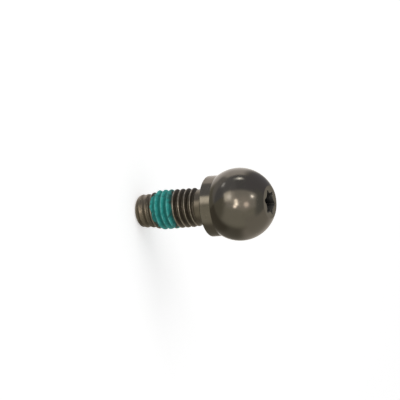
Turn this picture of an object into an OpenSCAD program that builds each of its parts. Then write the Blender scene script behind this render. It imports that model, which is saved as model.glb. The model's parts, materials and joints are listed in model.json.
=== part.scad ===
// Threaded ball stud, standing on the flat end of its tip with the ball up.
// The axis of the stud is the Z axis, and z = 0 is the end of the tip.

/* [Ball] */
// Diameter of the ball
ball_d = 14.5; // [13.2:0.1:16]
// Diameter of the flat on the crown of the ball
crown_flat_d = 6.6; // [5.6:0.1:7]

/* [Collar] */
// Diameter of the collar
collar_d = 12.1; // [11:0.1:12.6]
// From the seat under the collar to the centre of the ball
seat_to_ball = 6.3; // [5.6:0.05:6.8]
// Broken edge round the seat
collar_edge = 0.2; // [0.1:0.05:0.4]
// Radius in the corner under the seat
seat_fillet = 0.4; // [0.2:0.05:0.6]

/* [Shank] */
// Length from the seat to the end of the tip
shank_len = 15.3; // [14:0.1:18]
// Diameter of the plain neck under the collar
neck_d = 7.1; // [6.9:0.05:7.4]
// Length of the plain neck
neck_len = 2.1; // [1.7:0.05:2.8]
// Diameter of the plain pilot at the tip
pilot_d = 6.35; // [6.2:0.05:6.7]
// Length of the pilot
pilot_len = 2.3; // [1.9:0.05:2.8]
// Chamfer on the end of the pilot
tip_chamfer = 0.45; // [0.2:0.05:0.6]

/* [Thread] */
// Diameter over the crests of the thread
thread_d = 7.8; // [7.7:0.01:8.1]
// Pitch of the thread
thread_pitch = 1.25; // [1.15:0.01:1.35]
// Axial length over which the thread rises from the pilot
lead_in_len = 2.4; // [1.6:0.05:2.8]
// Axial length over which the thread fades into the neck
run_out_len = 0.9; // [0.6:0.05:1.4]
// Turn of the thread about the axis, in degrees
thread_clock = 322; // [0:1:359]

/* [Drive] */
// Diameter over the points of the six-lobe drive
drive_point_d = 5.07; // [4.8:0.01:5.3]
// Diameter between the hollows of the drive
drive_hollow_d = 3.68; // [3.5:0.01:3.8]
// Radius of the points
drive_point_r = 0.39; // [0.35:0.01:0.45]
// Depth of the straight part of the drive
drive_depth = 2.6; // [2:0.1:3.2]
// Depth of the cone below it
drive_cone = 0.8; // [0.4:0.1:1.2]
// Diameter of the flat at the bottom of the cone
cone_tip_d = 0.6; // [0.2:0.1:1]
// From the hollows of the drive in to the cone's edge
cone_inset = 0.15; // [0.1:0.05:0.3]
// Turn of the drive about the axis, in degrees
drive_clock = 21; // [0:1:59]

/* [Thread-locking patch] */
// Whole and part turns that the patch covers
patch_turns = 3.5; // [2:0.25:4]
// From the end of the pilot to the start of the patch
patch_gap = 0.65; // [0.4:0.05:1]
// Thickness of the film on the crests
patch_film = 0.06; // [0.05:0.01:0.1]
// Share of the thread's depth that the film fills in the roots
patch_fill = 0.35; // [0.2:0.05:0.6]

/* [Hidden] */
$fn = 96;

ball_r = ball_d / 2;
flat_r = crown_flat_d / 2;
collar_r = collar_d / 2;
neck_r = neck_d / 2;
pilot_r = pilot_d / 2;
crest_r = thread_d / 2;
// Depth of a full thread as a share of its pitch
depth_share = 0.6134;
thread_depth = depth_share * thread_pitch;
root_r = crest_r - thread_depth;
// Height of the crown flat above the centre of the ball
flat_h = sqrt(ball_r * ball_r - flat_r * flat_r);
// Drop from the centre of the ball to where the collar meets it
meet_h = sqrt(ball_r * ball_r - collar_r * collar_r);
pilot_top = pilot_len;
neck_low = shank_len - neck_len;
ball_z = shank_len + seat_to_ball;
tip_r = pilot_r - tip_chamfer;
// Points of the drive, steps in half a point or hollow, and steps in the corner under the seat
lobes = 6;
lobe_steps = 3;
arc_steps = 5;
// How far the drive's cut runs out of the crown, and its cone into the straight part
cut_lap = 1;
cone_lap = 0.2;

// Helical strip of the thread: steps in a turn, and the height and share of depth of each line in a pitch
turn_steps = 32;
line_at = [-1 / 12, 1 / 12, 7 / 16, 9 / 16];
line_up = [0, 0, 1, 1];
// How far the strip's two ends lie inside the pilot and the neck
core_sink = 0.08;
cover_sink = 0.1;
// Pitches that the strip starts below the top of the pilot
low_lap = 1.3;
core_r = min(root_r, pilot_r) - core_sink;
cover_r = neck_r - cover_sink;
strip_low = pilot_top - low_lap * thread_pitch;
strip_n = ceil((neck_low - strip_low) / thread_pitch * turn_steps + turn_steps / 4);

function step_z(i, k) = strip_low + thread_pitch * (i / turn_steps + line_at[k]);
// Fade is 0 on the full thread and 1 inside the neck
function fade(z) = min(1, max(0, (z - neck_low) / run_out_len + 1));
function lead_r(z) = core_r + max(0, z - pilot_top) / lead_in_len * (crest_r - core_r);
function step_r(i, k) =
  let (z = step_z(i, k), full = root_r + thread_depth * line_up[k], f = fade(z))
  min(full + (cover_r - full) * f, lead_r(z));
function polar(r, i, z) =
  let (a = 360 * i / turn_steps + thread_clock) [r * cos(a), r * sin(a), z];

// Corner numbers of a strip that runs from step 0 to step n: line 4 of a turn is line 0 of the next
function corner(n, i, k) =
  k < 4 ? 4 * i + k : i + turn_steps <= n ? 4 * (i + turn_steps) : 4 * (n + 1) + i + turn_steps - n - 1;
function strip_places(n) = concat(
  [for (i = [0 : n]) for (k = [0 : 3]) [i, k]],
  [for (i = [n + 1 : n + turn_steps]) [i, 0]]);
function strip_faces(n) = [
  for (i = [0 : n - 1]) for (k = [0 : 3]) for (h = [0, 1])
    h == 0 ? [corner(n, i, k), corner(n, i, k + 1), corner(n, i + 1, k + 1)]
           : [corner(n, i, k), corner(n, i + 1, k + 1), corner(n, i + 1, k)]];
// Edges of the strip's low and high ends, each in the order its cap needs
function low_edges(n) = concat(
  [for (i = [0 : turn_steps - 1]) [corner(n, i, 0), corner(n, i + 1, 0)]],
  [for (k = [0 : 3]) [corner(n, 0, k + 1), corner(n, 0, k)]]);
function high_edges(n) = concat(
  [for (i = [n - turn_steps : n - 1]) [corner(n, i + 1, 4), corner(n, i, 4)]],
  [for (k = [0 : 3]) [corner(n, n, k), corner(n, n, k + 1)]]);

// Threaded length as one closed strip, its two ends inside the pilot and the neck
module threaded_length() {
  n = strip_n;
  walls = [for (p = strip_places(n)) polar(step_r(p[0], p[1]), p[0], step_z(p[0], p[1]))];
  low = len(walls);
  ends = [[0, 0, strip_low + thread_pitch / 2], [0, 0, strip_low + thread_pitch * (n / turn_steps + 0.5)]];
  polyhedron(concat(walls, ends), concat(
    strip_faces(n),
    [for (e = low_edges(n)) [e[0], e[1], low]],
    [for (e = high_edges(n)) [e[0], e[1], low + 1]]));
}

// Outline of a six-lobe drive: round points joined by round hollows
module drive_outline() {
  half = 180 / lobes;
  a = drive_point_d / 2 - drive_point_r;
  h = drive_hollow_d / 2;
  hollow_r = (a * a + h * h - 2 * a * h * cos(half) - drive_point_r * drive_point_r)
    / (2 * drive_point_r + 2 * a * cos(half) - 2 * h);
  b = h + hollow_r;
  g = atan2(b * sin(half), b * cos(half) - a);
  function turned(p, q) = [p[0] * cos(q) - p[1] * sin(q), p[0] * sin(q) + p[1] * cos(q)];
  point = [for (j = [-lobe_steps : lobe_steps]) let (t = g * j / lobe_steps)
    [a + drive_point_r * cos(t), drive_point_r * sin(t)]];
  hollow = [for (j = [1 : 2 * lobe_steps - 1]) let (t = g + 180 + (half - g) * j / lobe_steps)
    [b * cos(half) + hollow_r * cos(t), b * sin(half) + hollow_r * sin(t)]];
  polygon([for (m = [0 : lobes - 1]) for (p = concat(point, hollow)) turned(p, 2 * half * m + drive_clock)]);
}

// Space cut for the driver: straight lobes with a cone below them
module drive_space() {
  floor_z = ball_z + flat_h - drive_depth;
  translate([0, 0, floor_z]) linear_extrude(drive_depth + cut_lap) drive_outline();
  translate([0, 0, floor_z - drive_cone])
    cylinder(h = drive_cone + cone_lap, r1 = cone_tip_d / 2, r2 = drive_hollow_d / 2 - cone_inset);
}

// Collar, the corner under it and the neck, turned as one outline
module collar_and_neck() {
  top = ball_z - meet_h / 2;
  corner_arc = [for (j = [arc_steps : -1 : 0]) let (t = 90 * j / arc_steps)
    [neck_r + seat_fillet * (1 - sin(t)), shank_len - seat_fillet * (1 - cos(t))]];
  rotate_extrude() polygon(concat(
    [[0, top], [0, neck_low], [neck_r, neck_low]],
    corner_arc,
    [[collar_r - collar_edge, shank_len], [collar_r, shank_len + collar_edge], [collar_r, top]]));
}

// Plain pilot with its chamfer
module pilot()
  rotate_extrude() polygon([
    [0, pilot_top], [pilot_r, pilot_top], [pilot_r, tip_chamfer], [tip_r, 0], [0, 0]]);

// The whole stud: ball, collar, neck, thread and pilot in one piece
module stud()
  color([0.2, 0.19, 0.17]) difference() {
    union() {
      difference() {
        translate([0, 0, ball_z]) sphere(r = ball_r);
        translate([0, 0, ball_z + flat_h]) cylinder(r = ball_r, h = ball_r);
      }
      collar_and_neck();
      threaded_length();
      pilot();
    }
    drive_space();
  }

// Dried thread-locking film: its inner side is the thread's own surface
module thread_lock_patch() {
  first = round((pilot_top + patch_gap - strip_low) / thread_pitch * turn_steps);
  n = round(patch_turns * turn_steps);
  inner = [for (p = strip_places(n)) let (i = first + p[0], k = p[1]) polar(step_r(i, k), i, step_z(i, k))];
  outer = [for (p = strip_places(n)) let (
    i = first + p[0], k = p[1], r = step_r(i, k),
    room = max(0, min(crest_r, lead_r(step_z(i, k))) - r))
    polar(r + patch_film + patch_fill * room, i, step_z(i, k))];
  m = len(inner);
  color([0.02, 0.42, 0.38]) polyhedron(concat(inner, outer), concat(
    [for (f = strip_faces(n)) [f[2], f[1], f[0]]],
    [for (f = strip_faces(n)) [f[0] + m, f[1] + m, f[2] + m]],
    [for (e = concat(low_edges(n), high_edges(n))) for (h = [0, 1])
      h == 0 ? [e[0] + m, e[1] + m, e[1]] : [e[0] + m, e[1], e[0]]]));
}

stud();
thread_lock_patch();
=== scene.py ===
# Threaded ball stud: smooth surfaces, finishes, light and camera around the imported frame
import json
import bpy
import numpy as np
from mathutils import Matrix, Vector


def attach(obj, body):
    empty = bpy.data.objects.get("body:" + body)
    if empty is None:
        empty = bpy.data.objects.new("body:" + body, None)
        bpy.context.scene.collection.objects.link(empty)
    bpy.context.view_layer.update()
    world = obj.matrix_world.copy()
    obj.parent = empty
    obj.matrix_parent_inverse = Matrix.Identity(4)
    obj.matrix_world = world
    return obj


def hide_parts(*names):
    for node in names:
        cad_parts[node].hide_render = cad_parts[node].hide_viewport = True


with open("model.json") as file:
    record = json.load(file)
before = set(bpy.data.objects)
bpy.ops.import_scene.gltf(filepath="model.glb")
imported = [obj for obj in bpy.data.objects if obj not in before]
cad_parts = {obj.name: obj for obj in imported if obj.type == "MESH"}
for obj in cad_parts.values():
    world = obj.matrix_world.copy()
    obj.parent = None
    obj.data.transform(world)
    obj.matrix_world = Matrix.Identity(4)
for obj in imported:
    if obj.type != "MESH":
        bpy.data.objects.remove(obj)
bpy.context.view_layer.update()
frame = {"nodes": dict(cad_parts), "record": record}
scene = bpy.context.scene
scene.view_settings.view_transform = "Standard"
millimetre = 0.001
turn = 2.0 * np.pi
mounts = {mount["name"]: np.array(mount["pos_m"]) for mount in frame["record"]["mounts"]}
ballCentre = mounts["ball"] / millimetre  # shapes are worked out in millimetres
print("frame loaded with", len(frame["nodes"]), "nodes")


class Wire:  # one socket of a node tree; sums on wires add Math nodes
    def __init__(self, tree, socket):
        self.tree, self.socket = tree, socket

    @staticmethod
    def node(tree, kind, settings=None, sockets=None, output=0):
        # a new node: its settings are set first, then the values or links of its sockets
        made = tree.nodes.new(kind)
        for name, value in (settings or {}).items():
            setattr(made, name, value)
        for name, value in (sockets or {}).items():
            if isinstance(value, Wire):
                tree.links.new(value.socket, made.inputs[name])
            else:
                made.inputs[name].default_value = value
        return Wire(tree, made.outputs[output])

    def math(self, operation, first, second):
        return Wire.node(self.tree, "ShaderNodeMath", {"operation": operation}, {0: first, 1: second})

    def __add__(self, other):
        return self.math("ADD", self, other)

    def __radd__(self, other):
        return self.math("ADD", other, self)

    def __sub__(self, other):
        return self.math("SUBTRACT", self, other)

    def __rsub__(self, other):
        return self.math("SUBTRACT", other, self)

    def __mul__(self, other):
        return self.math("MULTIPLY", self, other)

    def __rmul__(self, other):
        return self.math("MULTIPLY", other, self)

    def larger(self, other):
        return self.math("MAXIMUM", self, other)

    def between(self, low, high):  # 0 below low, 1 above high, smooth in between
        return Wire.node(self.tree, "ShaderNodeMapRange", {"interpolation_type": "SMOOTHSTEP"},
                         {"Value": self, "From Min": low, "From Max": high})


def freshMaterial(name):  # a material with an empty node tree
    made = bpy.data.materials.new(name)
    made.use_nodes = True
    made.node_tree.nodes.clear()
    return made, made.node_tree


def dress(piece, made, shader):  # gives the piece the material, with the shader as its surface
    out = made.node_tree.nodes.new("ShaderNodeOutputMaterial")
    made.node_tree.links.new(shader.socket, out.inputs["Surface"])
    piece.data.materials.append(made)


def objectPlace(tree):
    return Wire.node(tree, "ShaderNodeTexCoord", output="Object")


def pointValue(tree, name):  # a value that the mesh holds at each of its points
    return Wire.node(tree, "ShaderNodeAttribute", {"attribute_name": name}, output="Fac")


noiseMean = 0.5  # what a noise gives on the whole


def noise(tree, place, scale, detail, roughness):
    return Wire.node(tree, "ShaderNodeTexNoise", None,
                     {"Vector": place, "Scale": scale, "Detail": detail, "Roughness": roughness})


def bump(tree, grain, strength, depth):  # depth in metres
    return Wire.node(tree, "ShaderNodeBump", None,
                     {"Strength": strength, "Distance": depth, "Height": grain})


def blendColour(tree, share, first, second):  # first where share is 0, second where it is 1
    return Wire.node(tree, "ShaderNodeMix", {"data_type": "RGBA"},
                     {0: share, 6: first, 7: second}, output=2)  # the numbers of its colour sockets


def smoothStep(low, high, value):
    # 0 up to low and 1 from high on; in between, three times the share's square less twice its cube
    share = np.clip((value - low) / (high - low), 0.0, 1.0)
    return share * share * (3.0 - 2.0 * share)


# camera: looks at the stud from beside and above its ball, turned so that the axis lies along the picture
view = dict(
    elevation=23.4,            # degrees above the plane across the stud's axis
    axisRise=4.1,              # degrees that the axis climbs to the right in the picture
    fieldOfView=4.0,           # degrees across the picture
    pixelsPerMm=5.053,         # at the ball's centre
    ballPixel=(240.0, 204.2),  # the ball's centre, from the picture's top left corner
    pictureSize=400.0,         # pixels
    clip=(0.01, 20.0),         # nearest and furthest that the camera sees, in metres
)


def aimCamera():
    # right, up and back are the picture's own directions; the camera backs off until the scale is right
    lift, rise = np.radians(view["elevation"]), np.radians(view["axisRise"])
    flat, steep = np.array([1.0, 0.0, 0.0]), np.array([0.0, np.sin(lift), np.cos(lift)])
    back = np.array([0.0, -np.cos(lift), np.sin(lift)])
    right = np.cos(rise) * steep + np.sin(rise) * flat
    up = np.sin(rise) * steep - np.cos(rise) * flat
    half, scale = view["pictureSize"] / 2.0, view["pixelsPerMm"]
    away = half / scale / np.tan(np.radians(view["fieldOfView"] / 2.0))
    across = (view["ballPixel"][0] - half) / scale
    drop = (view["ballPixel"][1] - half) / scale
    place = ballCentre + away * back - across * right + drop * up
    lens = bpy.data.cameras.new("studCamera")
    lens.angle = np.radians(view["fieldOfView"])
    lens.clip_start, lens.clip_end = view["clip"]
    camera = bpy.data.objects.new("studCamera", lens)
    scene.collection.objects.link(camera)
    pose = np.eye(4)
    pose[:3] = np.stack([right, up, back, place * millimetre], axis=1)
    camera.matrix_world = Matrix(pose.tolist())
    scene.camera = camera
    return right, up, back


pictureRight, pictureUp, pictureBack = aimCamera()
print("camera placed")

# sizes of the stud in millimetres, heights from the end of the tip; the main ones are the solid's own
stud = dict(
    ballR=7.25, flatR=3.3, crownEdge=0.12,
    collarR=6.05, seatToBall=6.3, collarEdge=0.2, collarBlend=0.15, seatFillet=0.4,
    shankLen=15.3, neckR=3.55, neckLen=2.1,
    pilotR=3.175, pilotLen=2.3, tipChamfer=0.45,
    levelEdge=0.06, slopeEdge=0.04,           # the tip's broken edges, along its face or wall and its slope
    crestR=3.9, pitch=1.25, leadIn=2.4, runOut=0.9,
    crestAt=7.682,                            # height of a crest at angle 0
    threadDepth=0.6134,                       # in pitches, as the next two lines' lengths are
    crestTo=1.0 / 16.0, rootFrom=5.0 / 12.0,  # where a flank starts and ends, from the crest line
    softening=0.04, softTaps=9,               # its form is averaged this far each way, at so many places
    pilotMark=0.16, pilotMarkRise=0.6,        # faint turns on the pilot: height, and length they rise over
    pilotBlend=0.3,                           # share of the lead-in where the pilot becomes the root
    lobes=6, lobeR=2.535, hollowR=1.84, lobeTipR=0.39,
    lobeAngle=21.0,                           # degrees that the drive is turned by
    driveDepth=2.6, driveEdge=0.1,
    wallDraft=0.012,                          # share that the drive closes in for each millimetre down
    coneR=1.41, coneTipR=0.3, coneDepth=0.8,  # the cone in the socket's floor
    tipMiddle=0.25,                           # radius of the innermost ring on the end of the tip
    rowGap=0.05,                              # from a round corner to the first row beside it
    columns=216, threadStep=0.056,            # points round the stud, and height of a row on the shank
    rows=dict(tip=6, tipEdge=2, chamfer=4, fillet=8, seat=8, collarEdge=7, collar=12, blend=6,
              ball=96, crownEdge=5, flat=8, mouth=4, wall=13, floor=6),
    sharpAngle=38.0,                          # degrees past which an edge is shaded sharp
)


def sweepArc(middle, radius, start, stop, count):
    # a round corner: points at radius from the middle, angles in degrees from outwards to up
    angle = np.radians(np.linspace(start, stop, count))
    return np.stack([middle[0] + radius * np.cos(angle), middle[1] + radius * np.sin(angle)], axis=1)


def straight(start, stop, count):
    # evenly spaced points from start to stop, the last one left to the next stretch
    share = np.linspace(0.0, 1.0, count, endpoint=False)[:, None]
    return np.asarray(start) * (1.0 - share) + np.asarray(stop) * share


def column(start, stop, count):
    # evenly spaced values, one to a row, the first a step past start and the last at stop
    return np.linspace(start, stop, count + 1)[1:, None]


def crestShare(angle, height):
    # 1 on the crest line, which climbs a pitch each turn, and 0 in the root: straight flanks,
    # softened by averaging
    phase = (height - stud["crestAt"]) / stud["pitch"] - angle / turn
    taps = np.linspace(-1.0, 1.0, stud["softTaps"]) * stud["softening"]
    gap = np.abs((phase + taps[:, None, None] + 0.5) % 1.0 - 0.5)
    flank = (stud["rootFrom"] - gap) / (stud["rootFrom"] - stud["crestTo"])
    return np.clip(flank, 0.0, 1.0).mean(axis=0)


def shankRadius(angle, height):
    # the thread rises from the pilot along the lead-in, runs full, and fades into the neck;
    # with the radius come the share up to the crest and the thread's height as a share of the full one
    crestR, pilotR, chamfer = stud["crestR"], stud["pilotR"], stud["tipChamfer"]
    neckLow = stud["shankLen"] - stud["neckLen"]
    rootR = crestR - stud["threadDepth"] * stud["pitch"]
    lead = np.clip((height - stud["pilotLen"]) / stud["leadIn"], 0.0, 1.0)
    fade = smoothStep(neckLow - stud["runOut"], neckLow, height)
    markRise = smoothStep(chamfer, chamfer + stud["pilotMarkRise"], height)
    mark = stud["pilotMark"] * markRise * (1.0 - fade)
    share = crestShare(angle, height)
    floor = pilotR + (rootR - pilotR) * smoothStep(0.0, stud["pilotBlend"], lead)
    floor = floor + (stud["neckR"] - rootR) * fade
    full = (crestR - rootR) * (1.0 - fade)
    tall = np.minimum(full, mark + (full - mark) * lead)
    return floor + tall * share, share, tall / (crestR - rootR)


def lobeRadius(angle):
    # round points joined by round hollows, as a radius for each angle: a line from the middle
    # leaves the circle of a point, or meets the circle of a hollow
    tipR, hollow = stud["lobeTipR"], stud["hollowR"]
    reach, half = stud["lobeR"] - tipR, turn / (2 * stud["lobes"])
    bend = (reach ** 2 + hollow ** 2 - 2 * reach * hollow * np.cos(half) - tipR ** 2) / (
        2 * tipR + 2 * reach * np.cos(half) - 2 * hollow)
    out = hollow + bend
    lean = np.arctan2(out * np.sin(half), out * np.cos(half) - reach)
    meet = np.arctan2(tipR * np.sin(lean), reach + tipR * np.cos(lean))
    offset = np.abs((angle - np.radians(stud["lobeAngle"]) + half) % (2 * half) - half)
    point = reach * np.cos(offset) + np.sqrt(np.maximum(tipR ** 2 - (reach * np.sin(offset)) ** 2, 0.0))
    aside = half - offset
    valley = out * np.cos(aside) - np.sqrt(np.maximum(bend ** 2 - (out * np.sin(aside)) ** 2, 0.0))
    return np.where(offset < meet, point, valley)


def meshFromGrid(name, places, closedEnds, attributes):
    # rows by columns of points, wrapped round the columns; the end rows are fanned to points
    # or joined to each other
    rows, columns = places.shape[:2]
    here = np.arange(rows * columns).reshape(rows, columns)
    beside = np.roll(here, -1, axis=1)
    quads = np.stack([here[:-1], beside[:-1], beside[1:], here[1:]], axis=-1).reshape(-1, 4)
    points = places.reshape(-1, 3)
    triangles = np.zeros((0, 3), int)
    if closedEnds == "points":
        low, high = rows * columns, rows * columns + 1
        points = np.vstack([points, places[0].mean(axis=0), places[-1].mean(axis=0)])
        triangles = np.vstack([
            np.stack([beside[0], here[0], np.full(columns, low)], axis=1),
            np.stack([here[-1], beside[-1], np.full(columns, high)], axis=1)])
    else:
        quads = np.vstack([quads, np.stack([here[-1], beside[-1], beside[0], here[0]], axis=1)])
    corners = np.concatenate([quads.ravel(), triangles.ravel()])
    totals = np.concatenate([np.full(len(quads), 4), np.full(len(triangles), 3)])
    mesh = bpy.data.meshes.new(name)
    mesh.vertices.add(len(points))
    mesh.vertices.foreach_set("co", (points * millimetre).ravel())
    mesh.loops.add(len(corners))
    mesh.loops.foreach_set("vertex_index", corners)
    mesh.polygons.add(len(totals))
    mesh.polygons.foreach_set("loop_start", np.concatenate([[0], np.cumsum(totals)[:-1]]))
    mesh.update(calc_edges=True)
    mesh.validate()
    for label, values in attributes.items():
        flat = np.concatenate([values.ravel(), values[0, :1], values[-1, :1]])[:len(points)]
        mesh.attributes.new(label, "FLOAT", "POINT").data.foreach_set("value", flat)
    mesh.shade_smooth()
    made = bpy.data.objects.new(name, mesh)
    scene.collection.objects.link(made)
    return made


def studProfile():
    # outline of the turned body from the middle of the tip to the crown, as radius and height
    rows, gap = stud["rows"], stud["rowGap"]
    seat, ballZ = stud["shankLen"], stud["shankLen"] + stud["seatToBall"]
    pilotR, neckR, collarR, ballR = stud["pilotR"], stud["neckR"], stud["collarR"], stud["ballR"]
    # the tip's face, its slope and the broken edges at both ends of the slope
    chamfer, level, slope = stud["tipChamfer"], stud["levelEdge"], stud["slopeEdge"]
    foot = pilotR - chamfer
    tip = np.vstack([
        straight((stud["tipMiddle"], 0.0), (foot - level, 0.0), rows["tip"]),
        straight((foot - level, 0.0), (foot + slope, slope), rows["tipEdge"]),
        straight((foot + slope, slope), (pilotR - slope, chamfer - slope), rows["chamfer"]),
        straight((pilotR - slope, chamfer - slope), (pilotR, chamfer + level), rows["tipEdge"])])
    # the shank's rows, whose radius the thread sets, and the corner under the seat
    bend = stud["seatFillet"]
    low, high = chamfer + level, seat - bend
    steps = int(round((high - low) / stud["threadStep"]))
    shank = straight((pilotR, low), (neckR, high), steps)
    fillet = sweepArc((neckR + bend, high), bend, 180.0, 90.0, rows["fillet"])
    # the seat and its round edge
    rim = stud["collarEdge"]
    under = straight((neckR + bend + gap, seat), (collarR - rim - gap, seat), rows["seat"])
    edge = sweepArc((collarR - rim, seat + rim), rim, -90.0, 0.0, rows["collarEdge"])
    # the collar runs into the ball through a small hollow corner
    blend = stud["collarBlend"]
    drop = np.sqrt((ballR + blend) ** 2 - (collarR + blend) ** 2)
    lean = np.degrees(np.arctan2(-drop, collarR + blend))
    side = straight((collarR, seat + rim + gap), (collarR, ballZ - drop), rows["collar"])
    hollow = sweepArc((collarR + blend, ballZ - drop), blend, 180.0, 180.0 + lean, rows["blend"])
    # the ball ends at the crown's flat with a small round edge
    soft = stud["crownEdge"]
    flatZ = np.sqrt(ballR ** 2 - stud["flatR"] ** 2)
    inner = flatZ - soft
    top = np.sqrt((ballR - soft) ** 2 - inner ** 2)
    steep = np.degrees(np.arctan2(inner, top))
    ball = sweepArc((0.0, ballZ), ballR, lean, steep, rows["ball"])[1:]
    crown = sweepArc((top, ballZ + inner), soft, steep, 90.0, rows["crownEdge"])[1:]
    outline = np.vstack([tip, shank, fillet, under, edge, side, hollow, ball, crown])
    return outline, slice(len(tip), len(tip) + len(shank)), ballZ + flatZ


def makeStud():
    # the outline is carried round the axis, and its threaded rows take the thread's radius
    outline, threaded, crownZ = studProfile()
    rows, wide = stud["rows"], stud["columns"]
    angle = np.linspace(0.0, turn, wide, endpoint=False)[None, :] + np.radians(stud["lobeAngle"])
    radius = np.repeat(outline[:, :1], wide, axis=1)
    height = np.repeat(outline[:, 1:], wide, axis=1)
    crest, rolled = np.ones_like(radius), np.zeros_like(radius)
    radius[threaded], crest[threaded], rolled[threaded] = shankRadius(angle, height[threaded])
    # the crown's flat turns from a circle into the drive's outline, whose walls go down to a floor
    # with a cone in it
    star, rim, deep = lobeRadius(angle), stud["driveEdge"], stud["driveDepth"]
    across = column(0.0, 1.0, rows["flat"])
    flat = radius[-1:] * (1.0 - across) + (star + rim) * across
    bevel = np.radians(column(0.0, 90.0, rows["mouth"]))
    mouth = star + rim * (1.0 - np.sin(bevel))
    wallDrop = column(rim, deep, rows["wall"])
    wall = star * (1.0 - stud["wallDraft"] * wallDrop)
    sink = column(0.0, 1.0, rows["floor"])
    floor = wall[-1:] * (1.0 - sink) + stud["coneR"] * sink
    cone = stud["coneR"] + (stud["coneTipR"] - stud["coneR"]) * sink + 0.0 * star
    drops = np.vstack([0.0 * across, rim * (1.0 - np.cos(bevel)), wallDrop,
                       deep + 0.0 * sink, deep + stud["coneDepth"] * sink])
    radius = np.vstack([radius, flat, mouth, wall, floor, cone])
    height = np.vstack([height, np.repeat(crownZ - drops, wide, axis=1)])
    crest = np.vstack([crest, np.ones((len(drops), wide))])
    rolled = np.vstack([rolled, np.zeros((len(drops), wide))])
    # how deep a point lies in the socket, as a share of its straight part
    inside = np.zeros_like(radius)
    socketRows = len(mouth) + len(wall) + len(floor) + len(cone)
    inside[-socketRows:] = np.clip((crownZ - height[-socketRows:]) / deep, 0.0, 1.0)
    places = np.stack([radius * np.cos(angle), radius * np.sin(angle), height], axis=-1)
    made = meshFromGrid("stud_body", places, "points", {"crest": crest, "rolled": rolled, "inside": inside})
    made.data.set_sharp_from_angle(angle=np.radians(stud["sharpAngle"]))
    return made


studBody = makeStud()
print("stud made:", len(studBody.data.polygons), "faces")

# the dried film on the first turns: thin on the crests, a little thicker in the roots, with uneven edges
film = dict(
    low=(3.70, 0.0, 0.15, -0.31, 0.18),      # its start, in millimetres from the tip, and how that wanders
    high=(8.26, 0.33, -0.10, -0.03, -0.14),  # its end
    margin=1.5,                              # how much further than that the sheet is worked out
    onCrest=0.05, inRoot=0.10,               # thickness in millimetres
    sunk=0.06,                               # how far its inner side lies inside the steel
    tuck=0.03,                               # how far its outer side dips into the steel past its edges
    fadeIn=0.8, fadeOut=1.2, creep=0.2,      # its thinning ends, and how far it crept in the roots
    edgeWave=0.12, edgeWaves=dict(count=6, around=(3, 11), along=(0.0, 0.0)),
    lumpiness=0.2, lumpWaves=dict(count=12, around=(4, 26), along=(1.5, 9.0)),
    seed=5, columns=216, rowStep=0.05,
)


def lumps(seed, waves, angle, height):
    # a sum of waves round and along the stud, each with its own whole count of turns, over the root
    # of how many they are
    draw = np.random.default_rng(seed)
    (fewest, most), (slowest, fastest), count = waves["around"], waves["along"], waves["count"]
    turns = draw.integers(fewest, most + 1, count)[:, None, None]
    pace = draw.uniform(slowest, fastest, count)[:, None, None]
    shift = draw.uniform(0.0, turn, count)[:, None, None]
    return np.sin(turns * angle + pace * height + shift).sum(axis=0) / np.sqrt(count)


def wander(angle, mean, swing, sway, twist, bulge):
    # a height that changes round the stud: a mean, one wave in a turn and two waves in a turn
    once = mean + swing * np.cos(angle) + sway * np.sin(angle)
    return once + twist * np.sin(2 * angle) + bulge * np.cos(2 * angle)


def makeFilm():
    # a closed sheet round the shank: its outer side is the steel's radius and a thickness that
    # thins out at both ends, its inner side lies inside the steel
    low = film["low"][0] - film["margin"]
    high = film["high"][0] + film["margin"]
    rows = int(round((high - low) / film["rowStep"])) + 1
    angle = np.linspace(0.0, turn, film["columns"], endpoint=False)[None, :]
    height = np.repeat(np.linspace(low, high, rows)[:, None], film["columns"], axis=1)
    bare, share, rolled = shankRadius(angle, height)
    # the wet film leaned to one side and crept further along the roots than over the crests
    run, wave, seed = film["creep"] * (1.0 - share), film["edgeWave"], film["seed"]
    start = wander(angle, *film["low"]) - run + wave * lumps(seed, film["edgeWaves"], angle, height)
    stop = wander(angle, *film["high"]) + run + wave * lumps(seed + 1, film["edgeWaves"], angle, height)
    edge = smoothStep(0.0, film["fadeIn"], height - start) * smoothStep(0.0, film["fadeOut"], stop - height)
    rough = 1.0 + film["lumpiness"] * lumps(seed + 2, film["lumpWaves"], angle, height)
    thick = (film["onCrest"] + (film["inRoot"] - film["onCrest"]) * (1.0 - share)) * rough
    outer = bare + thick * edge - film["tuck"] * (1.0 - edge)
    inner = bare - film["sunk"]
    skin = np.stack([outer * np.cos(angle), outer * np.sin(angle), height], axis=-1)
    core = np.stack([inner * np.cos(angle), inner * np.sin(angle), height], axis=-1)[::-1]
    both = {"cover": np.vstack([edge * rough, np.zeros_like(thick)]),
            "crest": np.vstack([share * rolled + 1.0 - rolled, np.ones_like(share)])}
    return meshFromGrid("thread_lock_film", np.vstack([skin, core]), "ring", both)


filmCoat = makeFilm()
print("film made:", len(filmCoat.data.polygons), "faces")

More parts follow.
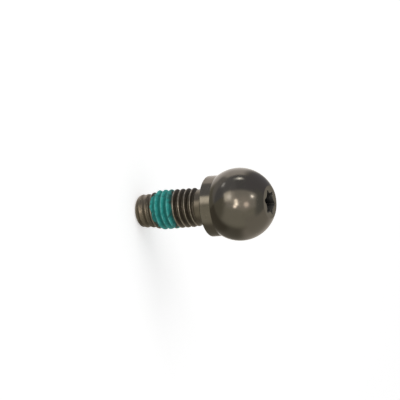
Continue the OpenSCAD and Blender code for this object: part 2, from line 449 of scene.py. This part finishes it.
# dark polished steel, browner and rougher down the shank
steel = dict(
    pilot=(0.205, 0.176, 0.142, 1.0), shank=(0.165, 0.147, 0.120, 1.0),
    collar=(0.185, 0.170, 0.147, 1.0), ball=(0.165, 0.153, 0.135, 1.0),
    # root is the colour of painted shade in the thread's roots and in the corner under the seat
    # worn is the colour of a painted highlight on the thread's crests
    root=(0.115, 0.104, 0.084, 1.0), worn=(0.380, 0.350, 0.300, 1.0), stain=(0.085, 0.074, 0.058, 1.0),
    # mouth and socket: the socket's colour from its mouth down to its floor, darkening with depth as
    # painted shade
    mouth=(0.105, 0.101, 0.093, 1.0), socket=(0.022, 0.023, 0.025, 1.0),
    # heights in millimetres between which each of these takes over; the corner's are where the painted
    # shade under the seat begins
    shankFrom=(2.0, 3.0), shadedCornerFrom=(14.75, 15.0), collarFrom=(15.2, 15.3), ballFrom=(17.6, 17.9),
    # shank, collar and ball
    roughness=(0.32, 0.16, 0.15), stains=(0.5, 0.5, 0.2), turningMarks=(0.8, 0.3, 0.1),
    # scale, detail and roughness of each noise; the turning marks are stretched round the stud
    cloud=(260.0, 4.0, 0.6), speck=(1700.0, 3.0, 0.6), lathe=(1.0, 3.0, 0.5),
    latheStretch=(60.0, 60.0, 5200.0),
    # the last of these is the strength of the painted shade in the corner under the seat
    stainCloud=(0.50, 0.78), paintedCornerShade=0.6,
    shadeRolled=(0.02, 0.4), shadeCrest=(0.55, 0.98),   # painted shade lies in the thread's roots and clear of its crests
    highlightRolled=(0.3, 0.9), highlightCrest=(0.80, 0.99),  # painted highlight on the crests of the full thread
    highlightSpeck=(0.35, 0.60), highlightLeast=0.45,
    dirtyInside=(0.0, 0.04), deepInside=(0.0, 0.7),     # shares of the socket's depth; over the second, the painted shade in the socket deepens
    socketRough=0.6, socketDull=0.7, cloudRough=0.14, shadeRough=0.2,
    speckBump=0.35, bumpStrength=0.16, bumpDepth=0.00004,
)


def finishSteel():
    made, tree = freshMaterial("stud_dark_steel")
    place = objectPlace(tree)
    height = Wire.node(tree, "ShaderNodeSeparateXYZ", None, {0: place}, output="Z") * (1.0 / millimetre)
    crest, rolled, inside = [pointValue(tree, name) for name in ("crest", "rolled", "inside")]
    onCollar = height.between(*steel["collarFrom"])
    onBall = height.between(*steel["ballFrom"])

    def zoned(shank, collar, ball):  # a value that changes from the shank to the collar and to the ball
        return shank + (collar - shank) * onCollar + (ball - collar) * onBall

    cloud = noise(tree, place, *steel["cloud"])
    speck = noise(tree, place, *steel["speck"])
    stretched = Wire.node(tree, "ShaderNodeMapping", None,
                          {"Vector": place, "Scale": steel["latheStretch"]})
    lathe = noise(tree, stretched, *steel["lathe"])
    colour = blendColour(tree, height.between(*steel["shankFrom"]), steel["pilot"], steel["shank"])
    colour = blendColour(tree, onCollar, colour, steel["collar"])
    colour = blendColour(tree, onBall, colour, steel["ball"])
    stain = cloud.between(*steel["stainCloud"]) * zoned(*steel["stains"])
    colour = blendColour(tree, stain, colour, steel["stain"])
    # painted shade: darker in the thread's roots and in the corner under the seat
    corner = height.between(*steel["shadedCornerFrom"]) * (1.0 - onCollar) * steel["paintedCornerShade"]
    paintedShade = rolled.between(*steel["shadeRolled"]) * (1.0 - crest.between(*steel["shadeCrest"])) + corner
    colour = blendColour(tree, paintedShade, colour, steel["root"])
    # painted highlight: a patchy paler colour along the crests of the full thread
    patchy = steel["highlightLeast"] + (1.0 - steel["highlightLeast"]) * speck.between(*steel["highlightSpeck"])
    crestHighlight = rolled.between(*steel["highlightRolled"]) * crest.between(*steel["highlightCrest"]) * patchy
    colour = blendColour(tree, crestHighlight, colour, steel["worn"])
    dirty = inside.between(*steel["dirtyInside"])
    # the socket has a dull residue; its colour darkening further down is painted shade
    socketShade = blendColour(tree, inside.between(*steel["deepInside"]), steel["mouth"], steel["socket"])
    colour = blendColour(tree, dirty, colour, socketShade)
    rough = zoned(*steel["roughness"]) + (cloud - noiseMean) * steel["cloudRough"]
    rough = rough + paintedShade * steel["shadeRough"]
    rough = rough + dirty * (steel["socketRough"] - rough)
    grain = lathe * zoned(*steel["turningMarks"]) + speck * steel["speckBump"]
    shader = Wire.node(tree, "ShaderNodeBsdfPrincipled", None, {
        "Base Color": colour, "Metallic": 1.0 - steel["socketDull"] * dirty, "Roughness": rough,
        "Normal": bump(tree, grain, steel["bumpStrength"], steel["bumpDepth"])})
    dress(studBody, made, shader)


finishSteel()

# matt teal film, worn thin at its edges, with painted shade in its roots and paler ridges, where it is
# thinner and carries a painted highlight
teal = dict(
    # root is the colour of painted shade in the film's roots
    deep=(0.024, 0.290, 0.262, 1.0), bright=(0.060, 0.490, 0.440, 1.0), root=(0.014, 0.185, 0.168, 1.0),
    # ridge is the colour of thinner film with a painted highlight on it
    ridge=(0.180, 0.540, 0.500, 1.0), bare=(0.040, 0.075, 0.068, 1.0),
    cloud=(900.0, 4.0, 0.65), grain=(5200.0, 3.0, 0.5),  # scale, detail and roughness of each noise
    brightCloud=(0.28, 0.66),
    rootCrest=(0.0, 0.85), rootShare=0.8,                # crest shares that the painted shade in the film's roots fades over
    ridgeCrest=(0.86, 1.0), ridgeCloud=(0.35, 0.6), ridgeShare=0.7,
    bareCover=(0.25, 0.95), bareShare=0.8,               # thickness shares that the bare edge fades over
    roughness=0.55, grainRough=0.25, specular=0.3,
    cloudBump=0.8, bumpStrength=0.35, bumpDepth=0.00006,
)


def finishFilm():
    made, tree = freshMaterial("thread_lock_teal")
    place = objectPlace(tree)
    thickness, crest = pointValue(tree, "cover"), pointValue(tree, "crest")
    cloud = noise(tree, place, *teal["cloud"])
    grain = noise(tree, place, *teal["grain"])
    colour = blendColour(tree, cloud.between(*teal["brightCloud"]), teal["deep"], teal["bright"])
    # painted shade: darker teal in the film's roots
    low = (1.0 - crest.between(*teal["rootCrest"])) * teal["rootShare"]
    colour = blendColour(tree, low, colour, teal["root"])
    # paler on the ridges: thinner film there, and a painted highlight
    ridge = crest.between(*teal["ridgeCrest"]) * cloud.between(*teal["ridgeCloud"]) * teal["ridgeShare"]
    colour = blendColour(tree, ridge, colour, teal["ridge"])
    worn = (1.0 - thickness.between(*teal["bareCover"])) * teal["bareShare"]
    colour = blendColour(tree, worn, colour, teal["bare"])
    rough = teal["roughness"] + (grain - noiseMean) * teal["grainRough"]
    lumpy = grain + cloud * teal["cloudBump"]
    shader = Wire.node(tree, "ShaderNodeBsdfPrincipled", None, {
        "Base Color": colour, "Roughness": rough, "Specular IOR Level": teal["specular"],
        "Normal": bump(tree, lumpy, teal["bumpStrength"], teal["bumpDepth"])})
    dress(filmCoat, made, shader)


finishFilm()
print("finishes set")

for piece, node, slot in (
        (studBody, "stud", "stud_steel"),
        (filmCoat, "thread_lock_patch", "thread_lock_film")):
    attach(piece, "root")
    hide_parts(node)

# studio: white floor and world, and a soft lamp that doesn't show in gloss; lengths in metres
studio = dict(
    floorSize=3.0, floorColour=(0.86, 0.86, 0.86, 1.0), floorGlow=0.46, worldLevel=0.66,
    keyPower=0.45, keySize=0.30, keyAway=0.40, keyAim=(0.0, 0.0, 0.015),
    keyFrom=(0.8, 0.5, 0.6),  # its direction, as shares of the picture's up and back and of straight up
)


def seenRays(tree):  # 1 for the rays that see the white background, 0 for the ones that light the stud
    path = tree.nodes.new("ShaderNodeLightPath")
    kinds = ("Is Camera Ray", "Is Glossy Ray", "Is Transmission Ray")
    straightOn, mirrored, through = [Wire(tree, path.outputs[kind]) for kind in kinds]
    return straightOn.larger(mirrored).larger(through)


def makeFloor():
    half = studio["floorSize"] / 2.0
    mesh = bpy.data.meshes.new("studio_floor")
    mesh.from_pydata([(-half, -half, 0.0), (half, -half, 0.0), (half, half, 0.0), (-half, half, 0.0)],
                     [], [(0, 1, 2, 3)])
    floor = bpy.data.objects.new("studio_floor", mesh)
    scene.collection.objects.link(floor)
    made, tree = freshMaterial("studio_floor_white")
    matt = Wire.node(tree, "ShaderNodeBsdfDiffuse", None, {"Color": studio["floorColour"]})
    glow = Wire.node(tree, "ShaderNodeEmission", None, {"Strength": seenRays(tree) * studio["floorGlow"]})
    dress(floor, made, Wire.node(tree, "ShaderNodeAddShader", None, {0: matt, 1: glow}))
    floor.visible_glossy = False  # gloss mirrors the tent instead


def makeWorld():
    world = bpy.data.worlds.new("studio_world")
    scene.world = world
    world.use_nodes = True
    tree = world.node_tree
    tree.nodes.clear()
    level = studio["worldLevel"] + seenRays(tree) * (1.0 - studio["worldLevel"])
    back = Wire.node(tree, "ShaderNodeBackground", None, {"Strength": level})
    tree.links.new(back.socket, tree.nodes.new("ShaderNodeOutputWorld").inputs["Surface"])


def makeLamp():
    # a square soft box that hangs in a direction from the stud and faces it
    lamp = bpy.data.lights.new("key_soft_box", "AREA")
    lamp.energy, lamp.size = studio["keyPower"], studio["keySize"]
    made = bpy.data.objects.new("key_soft_box", lamp)
    scene.collection.objects.link(made)
    upShare, backShare, topShare = studio["keyFrom"]
    direction = upShare * pictureUp + backShare * pictureBack + np.array([0.0, 0.0, topShare])
    away = Vector(direction).normalized()
    made.location = Vector(studio["keyAim"]) + away * studio["keyAway"]
    made.rotation_euler = away.to_track_quat("Z", "Y").to_euler()
    made.visible_glossy = False
    made.visible_camera = False


makeFloor()
makeWorld()
makeLamp()

# light tent that shows only in gloss: cards laid over each other, each with its ends across the picture,
# from -1 to 1, its degrees round from the camera over the top, its soft edges both ways and its brightness;
# then spots, each with its place across, its degrees round, its reach in degrees and its brightness
tent = dict(
    radius=3000.0, rows=180, columns=360, level=(0.36, 0.34, 0.27),
    wrap=40.0,      # degrees before a card's start that still count as before it
    spotCore=0.35,  # share of a spot's reach that has its full brightness
    cards=[
        ((-1.1, 1.1), (38.0, 104.0), (0.1, 8.0), (0.30, 0.30, 0.31)),        # dark ceiling
        ((-0.70, -0.25), (50.0, 100.0), (0.15, 10.0), (0.37, 0.37, 0.38)),   # its paler side
        ((-0.50, 0.06), (109.5, 200.0), (0.27, 6.0), (1.10, 1.03, 0.97)),    # bright wall behind
        ((-1.1, -0.48), (104.0, 124.0), (0.12, 12.0), (0.50, 0.48, 0.46)),   # its shaded end
        ((0.40, 1.1), (60.0, 160.0), (0.35, 15.0), (0.30, 0.29, 0.31)),      # dark corner behind the crown
        ((0.15, 1.1), (190.0, 260.0), (0.3, 30.0), (0.72, 0.66, 0.58)),      # pale table behind the crown
        ((-1.1, -0.1), (-150.0, -90.0), (0.4, 20.0), (0.30, 0.28, 0.23)),    # shaded table below the shank
        ((-1.1, -0.56), (-150.0, -95.0), (0.24, 18.0), (0.20, 0.18, 0.14)),  # its darkest part
        ((-0.68, 0.95), (-66.0, -10.0), (0.20, 26.0), (0.66, 0.63, 0.52)),   # pale table in front
        ((0.38, 1.1), (-130.0, -50.0), (0.25, 20.0), (0.62, 0.58, 0.50)),    # pale table past the crown
        ((0.86, 1.1), (-40.0, 60.0), (0.26, 25.0), (0.34, 0.34, 0.31)),      # dark end of the room
        ((-0.62, 0.70), (-8.0, 40.5), (0.14, 10.0), (0.78, 0.74, 0.66)),     # window
        ((-0.60, -0.44), (14.0, 34.0), (0.26, 14.0), (1.25, 1.17, 1.04)),    # light beside its open side
        ((-0.735, -0.47), (15.0, 44.0), (0.04, 8.0), (1.60, 1.50, 1.31)),    # its open side
        ((-0.735, -0.50), (22.0, 36.0), (0.04, 9.0), (2.10, 1.97, 1.72)),    # the brightest of it
        ((-0.12, 0.04), (87.5, 90.5), (0.18, 3.0), (1.5, 1.5, 1.45)),        # strip lamp overhead
        ((-0.02, -0.02), (88.0, 90.6), (0.15, 3.0), (5.5, 5.5, 5.2)),        # its middle
    ],
    spots=[
        (-0.563, 26.5, 10.0, (2.9, 2.75, 2.55)),   # glare in the open side
        (0.605, 29.5, 15.0, (1.05, 1.00, 0.92)),   # halo of a lamp towards the crown
        (0.605, 29.5, 8.0, (1.6, 1.5, 1.4)),       # its glow
        (0.605, 29.5, 4.5, (8.5, 8.1, 7.5)),       # the lamp
        (0.20, 4.0, 32.0, (0.98, 0.90, 0.80)),     # wide glow in front
        (0.33, -1.0, 11.0, (2.9, 2.5, 2.2)),       # its middle
        (-0.22, 3.0, 15.0, (1.35, 1.25, 1.10)),    # glow round three lamps in front
        (-0.225, 11.0, 6.5, (7.0, 6.4, 5.6)),      # the upper one
        (-0.20, 1.2, 6.2, (9.0, 8.2, 7.2)),        # the middle one
        (-0.285, -7.0, 6.2, (7.5, 6.6, 5.8)),      # the lower one
        (-0.68, 86.0, 4.8, (1.8, 1.82, 1.85)),     # two faint lamps overhead
        (-0.62, 90.0, 4.8, (1.8, 1.82, 1.85)),
    ],
)


def tentColours(way):
    # each card covers what lies under it, with soft edges; a spot fades from its middle
    across = way @ pictureRight
    around = np.degrees(np.arctan2(way @ pictureUp, way @ pictureBack))
    colour = np.ones(way.shape) * np.array(tent["level"])
    for (left, right), (low, high), (softAcross, softAround), bright in tent["cards"]:
        span = high - low
        sweep = (around - low + tent["wrap"]) % 360.0 - tent["wrap"]
        share = smoothStep(left - softAcross, left, across) * smoothStep(right + softAcross, right, across)
        share = share * smoothStep(-softAround, 0.0, sweep) * smoothStep(span + softAround, span, sweep)
        colour = colour + share[..., None] * (np.array(bright) - colour)
    for place, lift, wide, bright in tent["spots"]:
        level = np.sqrt(1.0 - place ** 2)
        centre = (place * pictureRight + level * np.sin(np.radians(lift)) * pictureUp
                  + level * np.cos(np.radians(lift)) * pictureBack)
        gap = np.degrees(np.arccos(np.clip(way @ centre, -1.0, 1.0)))
        share = smoothStep(wide, tent["spotCore"] * wide, gap)[..., None]
        colour = colour + share * (np.array(bright) - colour)
    return colour


def makeTent():
    # a ball of cards about the stud, far enough away that all of the stud mirrors the same places
    tilt = np.linspace(0.0, np.pi, tent["rows"] + 2)[1:-1, None]
    angle = np.linspace(0.0, turn, tent["columns"], endpoint=False)[None, :]
    level = -np.cos(tilt) + 0.0 * angle
    way = np.stack([np.sin(tilt) * np.cos(angle), np.sin(tilt) * np.sin(angle), level], axis=-1)
    colour = tentColours(way)
    names = ("tentRed", "tentGreen", "tentBlue")
    channels = {name: colour[..., place] for place, name in enumerate(names)}
    dome = meshFromGrid("studio_tent", tent["radius"] * way + ballCentre, "points", channels)
    made, tree = freshMaterial("studio_tent_cards")
    parts = {place: pointValue(tree, name) for place, name in enumerate(names)}
    mixed = Wire.node(tree, "ShaderNodeCombineColor", None, parts)
    dress(dome, made, Wire.node(tree, "ShaderNodeEmission", None, {"Color": mixed}))
    made.cycles.emission_sampling = "NONE"
    dome.visible_camera = dome.visible_diffuse = dome.visible_transmission = False
    dome.visible_volume_scatter = dome.visible_shadow = False


makeTent()
print("studio set")
